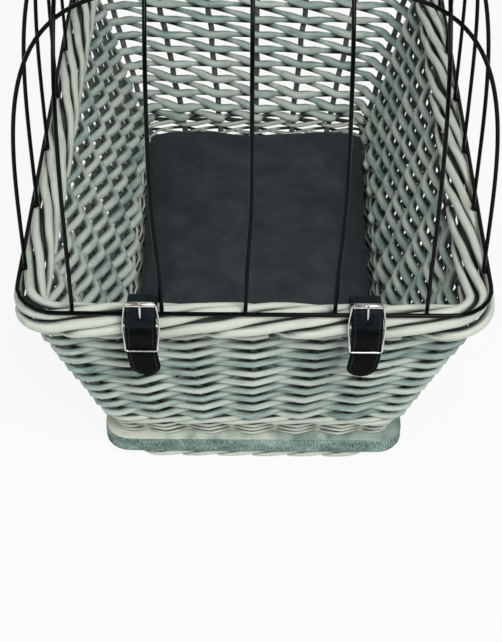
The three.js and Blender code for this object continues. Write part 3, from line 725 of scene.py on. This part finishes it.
def border_rods():
    """Rolled border: each rod comes out thin from below, climbs over the outside and ends inside."""
    shape = Shape()
    for stake in range(STAKES):
        v = np.linspace(0, BORDER_SPAN + rng.uniform(-0.25, 0.2), 72)
        spin = BORDER_SETS_OFF + BORDER_TURN * v + rng.uniform(-7, 7) + wobble(72, 3.0)
        turn = np.radians(lerp(BORDER_COMES_OUT, spin, smooth(v / 0.7)))
        ring = BORDER_RING + wobble(72, 0.3)
        start, thick, tip = BORDER_RADII
        radius = lerp(start, lerp(thick, tip, v / BORDER_SPAN), smooth(v / 0.8))
        u = stake + v
        path = on_ring(u, RIM, ring * np.cos(turn), RIM_Z + ring * np.sin(turn))
        # Painted shade on the side of each rod that faces the core, between the rods.
        inward = -outward(u) * np.cos(turn)[:, None]
        inward[:, 2] = -np.sin(turn)
        radius = radius * rng.uniform(0.95, 1.03)
        shape.tube(path, radius, end=0.5, tint=rng.random(), inward=inward, seam=0.36)
    names = ("outer_low", "outer_mid", "outer_top", "inner_top", "inner_low")
    nodes = [f"border_rod_{name}" for name in names]
    settle(shape.piece("border_rods", CREAM), "basket", "cream_willow", *nodes)


FOOT_SPAN = 2.15  # stakes that a rod of the foot border passes
FOOT_TURN = 118.0  # degrees that it turns from one stake to the next
FOOT_LAY = 2.1  # from the ring's centre line to that of a rod
FOOT_BUTT_R = 2.35
FOOT_TIP_R = 1.9


def foot_rods():
    """Foot border under the board: short rods that lie over each other like a rope."""
    shape = Shape()
    for stake in range(STAKES):
        v = np.linspace(0, FOOT_SPAN, 26)
        turn = np.radians(-80 + FOOT_TURN * v)
        out = FOOT_LAY * np.cos(turn)
        height = np.maximum(FOOT_RING_Z + FOOT_LAY * np.sin(turn), FOOT_BUTT_R)
        radius = lerp(FOOT_BUTT_R, FOOT_TIP_R, v / FOOT_SPAN)
        path = on_ring(stake + v, FOOT_RING, out, height)
        # Painted shade on the side of each rod that faces the ring's middle, between the rods.
        inward = -outward(stake + v) * np.cos(turn)[:, None]
        inward[:, 2] = -np.sin(turn)
        shape.tube(path, radius, end=0.5, tint=rng.random(), inward=inward)
    settle(shape.piece("foot_rods", CREAM), "basket", "cream_willow", "foot_border")


BOARD_FACE_IN = 18.0  # ring of points on the board's faces, in from its edge


def board():
    """The base board, with worn rounded edges and an uneven sawn side."""
    shape = Shape()
    u = np.arange(0, STAKES, 0.125)
    thick = BOARD_TOP - BOARD_BOTTOM
    edge = [(-1.6, 0), (-0.5, 0.5), (0, 1.6), (0, 0.35 * thick), (0, 0.65 * thick),
            (0, thick - 1.8), (-0.6, thick - 0.5), (-1.9, thick)]
    rows = []
    for out, height in edge:
        ripple = -np.abs(wobble(len(u), 0.25, 23.0))
        rows.append(on_ring(u, BOARD, out + ripple, BOARD_BOTTOM + height))
    inner = [side - BOARD_FACE_IN for side in BOARD]
    bottom, top = (on_ring(u, inner, 0.0, level) for level in (BOARD_BOTTOM, BOARD_TOP))
    shape.sweep([bottom, *rows, top])
    settle(shape.piece("board", STAINED_BOARD), "basket", "board", "base_board")


# Cushion

CUSHION_LIMIT = (100.5, 194.0, 65.0)  # half width at its foot, half length and top of the cloth
CUSHION_SPREAD = 0.17  # gain in half width for each millimetre of height
CUSHION_PUSH = 16.0  # how far the sides go out, until they meet that limit
CUSHION_SHORTER = 0.99  # its length before it is blown up, as a share of the CAD form's
CUSHION_VOXEL = 5.0
WELT_R = 1.3
WELT_LEVEL = 0.42  # share of the cushion's height
WELT_STEPS = 120


def cushion():
    """A stuffed pad: the CAD form made a little shorter, blown up as cloth, then pressed out to the
    walls and kept inside them."""
    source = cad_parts["cushion"].data.copy()
    low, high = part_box("cushion")
    middle = (low + high) / 2
    for vertex in source.vertices:
        vertex.co = middle + (vertex.co - middle) * Vector((1.0, CUSHION_SHORTER, 1.0))
    pad = link(bpy.data.objects.new("cushion_pad", source))
    remesh = pad.modifiers.new("remesh", "REMESH")
    remesh.mode = "VOXEL"
    remesh.voxel_size = CUSHION_VOXEL * MM
    pad.data = finished_mesh(pad)
    pad.modifiers.clear()
    blow_up(pad)
    floor = low.z
    for vertex in pad.data.vertices:
        side = vertex.co.x / (CUSHION_LIMIT[0] * MM)
        vertex.co.x += CUSHION_PUSH * MM * side * abs(side) ** 3
        fold = noise.noise(vertex.co * 34) * 0.9 + noise.noise(vertex.co * 90) * 0.35
        crown = max(0.0, vertex.co.z - middle.z) / (high.z - middle.z)
        vertex.co.z += fold * crown * MM
        room = CUSHION_LIMIT[0] * MM + CUSHION_SPREAD * (vertex.co.z - floor)
        vertex.co.x = max(-room, min(room, vertex.co.x))
        reach = CUSHION_LIMIT[1] * MM
        vertex.co.y = middle.y + max(-reach, min(reach, vertex.co.y - middle.y))
        vertex.co.z = max(floor, min(CUSHION_LIMIT[2] * MM, vertex.co.z))
    for polygon in pad.data.polygons:
        polygon.use_smooth = True
    pad.data.materials.clear()
    pad.data.materials.append(CLOTH)
    pad.modifiers.new("smooth", "SUBSURF").render_levels = 1
    return settle(pad, "basket", "dark_fabric", "cushion")


def blow_up(pad, cap=0.008):
    """Cloth under pressure for twenty frames; no point moves further than the cap."""
    rest = np.array([v.co for v in pad.data.vertices])
    cloth = pad.modifiers.new("cloth", "CLOTH")
    cloth.settings.use_pressure = True
    cloth.settings.uniform_pressure_force = 4.0
    cloth.settings.effector_weights.gravity = 0.0
    cloth.point_cache.frame_start = 1
    cloth.point_cache.frame_end = 20
    for number in range(1, 21):
        bpy.context.scene.frame_set(number)
    moved = np.array([v.co for v in finished_mesh(pad).vertices]) - rest
    pad.modifiers.clear()
    bpy.context.scene.frame_set(1)
    far = np.linalg.norm(moved, axis=1, keepdims=True)
    moved *= np.minimum(1.0, cap / np.maximum(far, 1e-9))
    pad.data.vertices.foreach_set("co", (rest + moved).astype(np.float32).ravel())
    pad.data.update()


def cushion_seam(pad):
    """The welt sewn round the pad, a little under half its height."""
    mesh = finished_mesh(pad)
    points = np.array([v.co for v in mesh.vertices]) / MM - [0, CENTRE_Y, 0]
    low, high = points[:, 2].min(), points[:, 2].max()
    level = lerp(low, high, WELT_LEVEL)
    band = points[np.abs(points[:, 2] - level) < 5]
    angle = np.arctan2(band[:, 1] / 2, band[:, 0])
    path = []
    for i in range(WELT_STEPS):
        toward = 2 * math.pi * i / WELT_STEPS
        near = np.abs(np.mod(angle - toward + math.pi, 2 * math.pi) - math.pi) < 0.05
        far = band[near][np.argmax(np.hypot(band[near][:, 0], band[near][:, 1]))]
        path.append([far[0], far[1] + CENTRE_Y, level])
    path = np.array(path)
    for _ in range(3):
        path = (np.roll(path, 1, axis=0) + 2 * path + np.roll(path, -1, axis=0)) / 4
    shape = Shape()
    shape.tube(path, WELT_R, sides=8, loops=True)
    settle(shape.piece("cushion_seam", CLOTH), "basket", "dark_fabric")


# Wire hood

def dome(share):
    return np.maximum(0, 1 - np.abs(share) ** DOME_POWER) ** (1 / DOME_POWER)


def dome_shares():
    t = np.linspace(0, math.pi, 161)
    return np.sign(-np.cos(t)) * np.abs(np.cos(t)) ** (2 / DOME_POWER)


def dome_point(x, y):
    return np.stack([x, y, WIRE_Z + DOME[2] * dome(x / DOME[0]) * dome(y / DOME[1])], axis=-1)


def dome_normal(x, y):
    step = 0.01
    east = dome_point(x + step, y)[..., 2] - dome_point(x - step, y)[..., 2]
    north = dome_point(x, y + step)[..., 2] - dome_point(x, y - step)[..., 2]
    normal = np.stack([-east / (2 * step), -north / (2 * step), np.ones_like(x)], axis=-1)
    return normal / np.linalg.norm(normal, axis=-1, keepdims=True)


def rib_path(places):
    """A rib that leans over from the place of its front foot, and back to that of its rear one."""
    foot, top, rear = places
    y = dome_shares() * DOME[1]
    rib = dome_point(np.full_like(y, top), y)
    leant = smooth((rib[:, 2] - WIRE_Z) / RIB_LEAN_HEIGHT)
    rib[:, 0] = lerp(np.where(y < 0, foot, rear), top, leant)
    return rib


def hoop_path(y):
    x = dome_shares() * DOME[0] * 0.999999
    rows = np.full_like(x, y)
    path = dome_point(x, rows) - WIRE_CROSSING * dome_normal(x, rows)
    path[0] = [-DOME[0] + WIRE_CROSSING, y, WIRE_Z]
    path[-1] = [DOME[0] - WIRE_CROSSING, y, WIRE_Z]
    return path


def hood():
    """Perimeter wire, ribs, hoops and a bead of weld wherever two wires meet."""
    to_frame = np.array([0, CENTRE_Y, 0])
    u = np.arange(0, STAKES, 0.125)
    ring = Shape()
    ring.tube(on_ring(u, RIM, PERIMETER[0], WIRE_Z), PERIMETER_DRAWN_R, sides=12, loops=True)
    settle(ring.piece("perimeter_wire", WIRE), "hood", "black_wire", "hood_perimeter_wire")
    welds = Shape()
    ribs = list(zip(RIB_FEET, RIB_TOPS, RIB_REAR))
    for kind, places, path_of in (("rib", ribs, rib_path), ("hoop", HOOP_PLACES, hoop_path)):
        for i, at in enumerate(places, start=1):
            path = evenly(path_of(at), 7.0) + to_frame
            wire = Shape()
            wire.tube(path, HOOD_WIRE_R, sides=10, end=0.4)
            settle(wire.piece(f"{kind}_{i}", WIRE), "hood", "black_wire", f"hood_{kind}_{i}")
            for end in (path[0], path[-1]):
                out = np.array([0, np.sign(end[1] - CENTRE_Y), 0])
                if kind == "hoop":
                    out = np.array([np.sign(end[0]), 0, 0])
                welds.ball(end + out * WELD_R, (WELD_R, WELD_R, WELD_R + 0.2))
    for x in RIB_TOPS:
        for y in HOOP_PLACES:
            spot = np.array(x), np.array(y)
            middle = dome_point(*spot) - dome_normal(*spot) * WIRE_CROSSING / 2
            welds.ball(middle + to_frame, CROSSING_WELD)
    settle(welds.piece("hood_welds", WIRE), "hood", "black_wire")


# Straps and buckles

STITCH_IN = 2.6  # stitch line, from the strap's edge
STITCH_STEP = 3.6
STITCH_R = 0.32
TIP_ROUND = 9.5  # corner radius of the tongue's tip
TAIL_LENGTH = 27.0  # of the tongue, past its keeper
TAIL_SWAY = 2.4  # how far its tip hangs to the middle of the basket
TAIL_FLARE = (1.0, -4.0)  # its first bend, out and up from the keeper
TAIL_TIP = (-1.2, -26.0)
TONGUE_OVER_FOLD = 5.5  # from the buckle's bar to the tongue that lies over the fold
SPARE_HOLE = 34.0  # from the tip
LOOP_TOP = 4.67  # above the core rod, where the rear loop turns down the border's outside

# Degrees round a bar, from straight out, where leather meets or leaves it
MEETS_WIRE = 97
TONGUE_LEAVES_WIRE = 75
LOOP_LEAVES_WIRE = 5
TONGUE_AT_ROLLER = -110
TONGUE_AT_KEEPER = 166


def strip_section(half):
    """A leather strip cut across: a crowned outer face with a crease at each stitch line."""
    seam = half - STITCH_IN
    face = [(half, 0.0), (half - 0.25, 0.7), (half - 0.9, 1.05), (seam + 0.7, 1.1), (seam, 0.85),
            (seam - 0.7, 1.1), (seam * 0.5, 1.16)]
    right = [(max(x, 0.15), z) for x, z in face]
    left = [(-x, z) for x, z in reversed(right)]
    back = [(-half + 0.4, -0.95), (-half * 0.5, -1.1), (half * 0.5, -1.1), (half - 0.4, -0.95)]
    return np.array(right + [(0.0, 1.18)] + left + back)


def strip_frames(path, loops):
    """For each place of a path in the rim plane, the direction out of the leather's face."""
    along = tangents(path, loops)
    return np.stack([-along[:, 1], along[:, 0]], axis=-1)


def leather_strip(shape, path, x, end, flip=1, tip=0.0, sway=0.0, loops=False):
    """Sweeps a strip along a path; flip turns its finished face over, tip rounds its end, and sway
    is how far its tail hangs to one side."""
    path = np.asarray(path, float)
    face = strip_frames(path, loops) * flip
    run = run_along(path)
    rows, seams = [], ([], [])
    for spot, out, left in zip(path, face, run[-1] - run):
        half = STRAP_HALF
        if tip and left < tip:
            half = STRAP_HALF - tip + math.sqrt(max(0.0, tip**2 - (tip - left) ** 2))
        section = strip_section(max(half, 0.8))
        middle = x + sway * smooth(1 - left / TAIL_LENGTH)
        rows.append([at_rim(middle + s, spot + out * t, end) for s, t in section])
        for seam, hand in zip(seams, (-1, 1)):
            if half > STITCH_IN + 1:
                seam.append(at_rim(middle + hand * (half - STITCH_IN), spot + out * 0.95, end))
    rows = np.array(rows)
    ring, ahead = rows[0], rows[1].mean(axis=0) - rows[0].mean(axis=0)
    area = np.cross(ring, np.roll(ring, -1, axis=0)).sum(axis=0)
    if area @ ahead < 0:
        rows = rows[:, ::-1]
    shape.sweep(rows, loops=loops)
    for seam in seams:
        stitch_line(shape, np.array(seam + seam[:1] if loops else seam))


def stitch_line(shape, seam):
    """Thread that comes up and goes down along a seam."""
    fine = evenly(seam, 0.6)
    per = int(round(STITCH_STEP / 0.6))
    for first in range(2, len(fine) - per, per):
        shape.tube(fine[first:first + per - 1], STITCH_R, sides=6, end=0.8, slot=1)


def under_border():
    low = STRAP_UNDER + STRAP_BEND
    outer = arc((OUT_RUN - STRAP_BEND, low), STRAP_BEND, 0, -90, 6)
    inner = arc((INNER_RUN + STRAP_BEND, low), STRAP_BEND, -90, -180, 6)
    return outer + inner


def over_border(until, steps):
    """Over the border's inner rod and the wire; until is the angle where it leaves the wire."""
    across, level = INNER_TOP_ROD
    crest = level + BORDER_ROD_R + GAP + LEATHER / 2
    start = STRAP_SPLIT + LEATHER
    shoulder = []
    for degrees in (180, 165, 150, 135, 120, 105, 90):
        c, s = polar((0, 0), 1, degrees)
        shoulder.append((across + (across - INNER_RUN) * c, lerp(start, crest, s)))
    return shoulder + arc(PERIMETER, PERIMETER_R + GAP + LEATHER / 2, MEETS_WIRE, until, steps)


def strap(side, x):
    """The fixed part: folded round the buckle's bar, then under the border and up inside."""
    lay = [(CENTRE_BAR[0] + FOLD_R, CENTRE_BAR[1] - FOLD_END)]
    lay += arc(CENTRE_BAR, FOLD_R, 0, 180, 12) + under_border() + [(INNER_RUN, STRAP_SPLIT)]
    shape = Shape()
    leather_strip(shape, evenly(lay, 1.0), x, FRONT_END, flip=-1)
    piece = shape.piece(f"{side}_strap_fixed", HIDE, THREAD)
    settle(piece, "basket", "black_leather", f"{side}_strap")


def tongue(side, x):
    """The loose part: over the rim and wire, under the roller, over the fold, under the keeper."""
    under_roller = polar(ROLLER_BAR, ROLLER_R + GAP + LEATHER / 2, TONGUE_AT_ROLLER)
    over_fold = arc(CENTRE_BAR, TONGUE_OVER_FOLD, 45, 0, 2)
    past_fold = (over_fold[-1][0], CENTRE_BAR[1] - FOLD_END)
    under_keeper = polar(KEEPER_BAR, FRAME_R + KEEPER_PLAY + LEATHER / 2, TONGUE_AT_KEEPER)
    below_keeper = (under_keeper[0] + TAIL_FLARE[0], under_keeper[1] + TAIL_FLARE[1])
    tip = (under_keeper[0] + TAIL_TIP[0], under_keeper[1] + TAIL_TIP[1])
    over = over_border(TONGUE_LEAVES_WIRE, 2)
    lay = [(INNER_RUN, STRAP_SPLIT + 0.1)] + over[:-1]
    woven = spline([over[-1], under_roller, *over_fold, past_fold, under_keeper, below_keeper, tip])
    path = evenly(np.vstack([lay, woven]), 1.0)
    shape = Shape()
    sway = -math.copysign(TAIL_SWAY, x)
    leather_strip(shape, path, x, FRONT_END, tip=TIP_ROUND, sway=sway)
    spare_hole(shape, path, x)
    piece = shape.piece(f"{side}_strap_loose", HIDE, THREAD)
    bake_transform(piece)
    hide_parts(f"{side}_strap_tongue")


def spare_hole(shape, path, x):
    """The pressed rim of a spare hole in the loose part."""
    face = strip_frames(path, False)
    run = run_along(path)
    i = int(np.argmin(np.abs(run[-1] - run - SPARE_HOLE)))
    middle = at_rim(x, path[i] + face[i] * 1.12, FRONT_END)
    across = np.array([1.0, 0.0, 0.0])
    up = at_rim(x, path[i - 1], FRONT_END) - at_rim(x, path[i + 1], FRONT_END)
    up = up / np.linalg.norm(up)
    angle = np.arange(16) * 2 * math.pi / 16
    ring = np.cos(angle)[:, None] * across + np.sin(angle)[:, None] * up
    shape.tube(middle + 1.55 * ring, 0.3, sides=6, loops=True)


def buckle(side, x):
    """Bent wire frame, narrower at its ends, with a straight bar across its middle."""
    loop = []
    corners = ((1, BUCKLE_UP, 0), (-1, BUCKLE_UP, 90), (-1, -BUCKLE_DOWN, 180), (1, -BUCKLE_DOWN, 270))
    for hand, along, start in corners:
        inward = -FRAME_CORNER if along > 0 else FRAME_CORNER
        middle = (hand * (RAIL_X - FRAME_CORNER), along + inward)
        for degrees in range(start, start + 91, 15):
            loop.append(polar(middle, FRAME_CORNER, degrees))
    closed = evenly(np.array(loop + loop[:1]), 1.0)[:-1]
    drawn = np.where(closed[:, 1] > 0, ROLLER_END_DRAWN, KEEPER_END_DRAWN)
    closed[:, 0] *= 1 - drawn * smooth(np.abs(closed[:, 1]) / BUCKLE_UP)
    closed = [at_rim(x + c, on_frame(s), FRONT_END) for c, s in closed]
    shape = Shape()
    shape.tube(closed, FRAME_R, sides=12, loops=True)
    ends = [at_rim(x + hand * RAIL_X, CENTRE_BAR, FRONT_END) for hand in (-1, 1)]
    shape.tube(evenly(ends, 4.0), BUCKLE_R - 0.05, sides=12)
    piece = shape.piece(f"{side}_buckle_loop", NICKEL)
    settle(piece, "basket", "nickel", f"{side}_buckle_frame")


def roller(side, x):
    """A rolled tube with soft ends, open round its bar."""
    half = ROLLER_HALF
    inside = BUCKLE_R + 0.25
    profile = [
        (inside, -half), (ROLLER_R - 0.35, -half), (ROLLER_R, -half + 0.5), (ROLLER_R + 0.02, 0),
        (ROLLER_R, half - 0.5), (ROLLER_R - 0.35, half), (inside, half), (inside, 0),
    ]
    rows = []
    for step in range(28):
        spots = [(along, polar(ROLLER_BAR, r, 360 * step / 28)) for r, along in profile]
        rows.append([at_rim(x + along, spot, FRONT_END) for along, spot in spots])
    shape = Shape()
    shape.sweep(np.array(rows), loops=True)
    piece = shape.piece(f"{side}_roller_tube", NICKEL)
    settle(piece, f"{side}_roller", "nickel", f"{side}_buckle_roller")


def prong(side, x):
    """A ring on the bar, and a wire that passes the strap's hole and lies on the roller."""
    ring = [at_rim(x, spot, FRONT_END) for spot in arc(CENTRE_BAR, PRONG_RING, 0, 345, 23)]
    shape = Shape()
    shape.tube(ring, 0.6, sides=10, loops=True, wide=2.4)
    clear = polar(CENTRE_BAR, PRONG_CLEAR, PRONG_ANGLE)
    on_roller = polar(ROLLER_BAR, ROLLER_R + GAP + PRONG_R, PRONG_ON_ROLLER)
    lay = [polar(CENTRE_BAR, PRONG_RING, PRONG_ANGLE), clear,
           ((2 * clear[0] + on_roller[0]) / 3, (clear[1] + on_roller[1]) / 2),
           on_roller, (on_roller[0] - 1.1, on_roller[1] + 2.2)]
    path = np.array([at_rim(x, spot, FRONT_END) for spot in spline(lay, 6)])
    shape.tube(path, np.linspace(PRONG_R, PRONG_TIP_R, len(path)), sides=10, end=0.8)
    piece = shape.piece(f"{side}_prong_wire", NICKEL)
    settle(piece, f"{side}_prong", "nickel", f"{side}_buckle_prong")


def hinge_loop(side, x):
    """A closed leather band round the rear border and the perimeter wire."""
    over = over_border(LOOP_LEAVES_WIRE, 8)
    lay = [(INNER_RUN, STRAP_SPLIT), *over, (OUT_RUN, LOOP_TOP), *under_border()]
    path = evenly(np.array(lay + lay[:1]), 1.2)[:-1]
    shape = Shape()
    leather_strip(shape, path, x, REAR_END, loops=True)
    piece = shape.piece(f"{side}_hinge_band", HIDE, THREAD)
    settle(piece, "basket", "black_leather", f"{side}_hinge_loop")


weave_rods()
stakes()
upsett_rods()
wale_rods()
border_rods()
foot_rods()
board()
cushion_seam(cushion())
hood()
for name, place_x in (("left", -STRAP_X), ("right", STRAP_X)):
    strap(name, place_x)
    tongue(name, place_x)
    buckle(name, place_x)
    roller(name, place_x)
    prong(name, place_x)
    hinge_loop(name, place_x)


# Stage: floor, light and camera

WHITE_SHARE = 0.9  # of the floor that the camera sees as plain white, over its own shade
FLOOR_HALF = 6.0
FLOOR_Z = -0.0004
SKY = 0.22


def floor():
    """A white sheet: it glows for the camera and takes soft shade from the basket."""
    corners = ((-1, -1), (1, -1), (1, 1), (-1, 1))
    mesh = bpy.data.meshes.new("floor")
    points = [(x * FLOOR_HALF, y * FLOOR_HALF, FLOOR_Z) for x, y in corners]
    mesh.from_pydata(points, [], [(0, 1, 2, 3)])
    look = Look("white_floor")
    look.set(Base_Color=(0.8, 0.8, 0.8, 1), Roughness=0.9, Specular_IOR_Level=0.1)
    rays = look.node("ShaderNodeLightPath").outputs
    seen = look.math("MAXIMUM", rays["Is Camera Ray"], rays["Is Glossy Ray"])
    seen = look.math("MAXIMUM", seen, rays["Is Transmission Ray"])
    glow = look.node("ShaderNodeEmission", {"Color": (1, 1, 1, 1), "Strength": 1.0}).outputs[0]
    share = look.math("MULTIPLY", seen, WHITE_SHARE)
    inputs = {0: share, 1: look.shader.outputs[0], 2: glow}
    mixed = look.node("ShaderNodeMixShader", inputs).outputs[0]
    output = next(n for n in look.tree.nodes if n.type == "OUTPUT_MATERIAL")
    look.tree.links.new(mixed, output.inputs["Surface"])
    mesh.materials.append(look.material)
    link(bpy.data.objects.new("floor", mesh))


def sky(strength):
    world = bpy.data.worlds.new("studio")
    bpy.context.scene.world = world
    world.use_nodes = True
    background = world.node_tree.nodes["Background"].inputs
    background["Color"].default_value = (1, 1, 1, 1)
    background["Strength"].default_value = strength


def softbox(name, where, target, size, power):
    lamp = bpy.data.lights.new(name, "AREA")
    lamp.size = size
    lamp.energy = power
    obj = link(bpy.data.objects.new(name, lamp))
    obj.location = where
    obj.rotation_euler = (Vector(target) - Vector(where)).to_track_quat("-Z", "Y").to_euler()


def camera():
    """The photograph's camera, as fitted to the perimeter wire, board and hood ribs."""
    pitch, yaw, roll = (math.radians(x) for x in (42.0, -0.27, 0.24))
    distance = 1.045
    focal, long_side, shift = 1488.0, 642.0, -8.2  # in pixels of the photograph
    aim = Vector((-2.1 * MM, (CENTRE_Y - 268.0) * MM, WIRE_Z * MM))
    level = math.cos(pitch)
    ahead = Vector((math.sin(yaw) * level, math.cos(yaw) * level, -math.sin(pitch)))
    right = Vector((math.cos(yaw), -math.sin(yaw), 0))
    up = right.cross(ahead)
    c, s = math.cos(roll), math.sin(roll)
    right, up = c * right + s * up, c * up - s * right
    data = bpy.data.cameras.new("camera")
    data.sensor_width = 36.0
    data.lens = 36.0 * focal / long_side
    data.shift_y = shift / long_side
    obj = link(bpy.data.objects.new("camera", data))
    turn = Matrix((right, up, -ahead)).transposed().to_4x4()
    obj.matrix_world = Matrix.Translation(aim - distance * ahead) @ turn
    bpy.context.scene.camera = obj


floor()
sky(SKY)
softbox("key", (0.6, -1.5, 1.9), (0, -0.1, 0.15), 1.0, 36.0)
softbox("fill", (-1.6, -0.9, 1.4), (0, 0, 0.15), 1.6, 9.0)
softbox("back", (0.2, 1.6, 1.6), (0, 0.1, 0.2), 1.4, 5.0)
camera()
bpy.context.scene.view_settings.view_transform = "Standard"
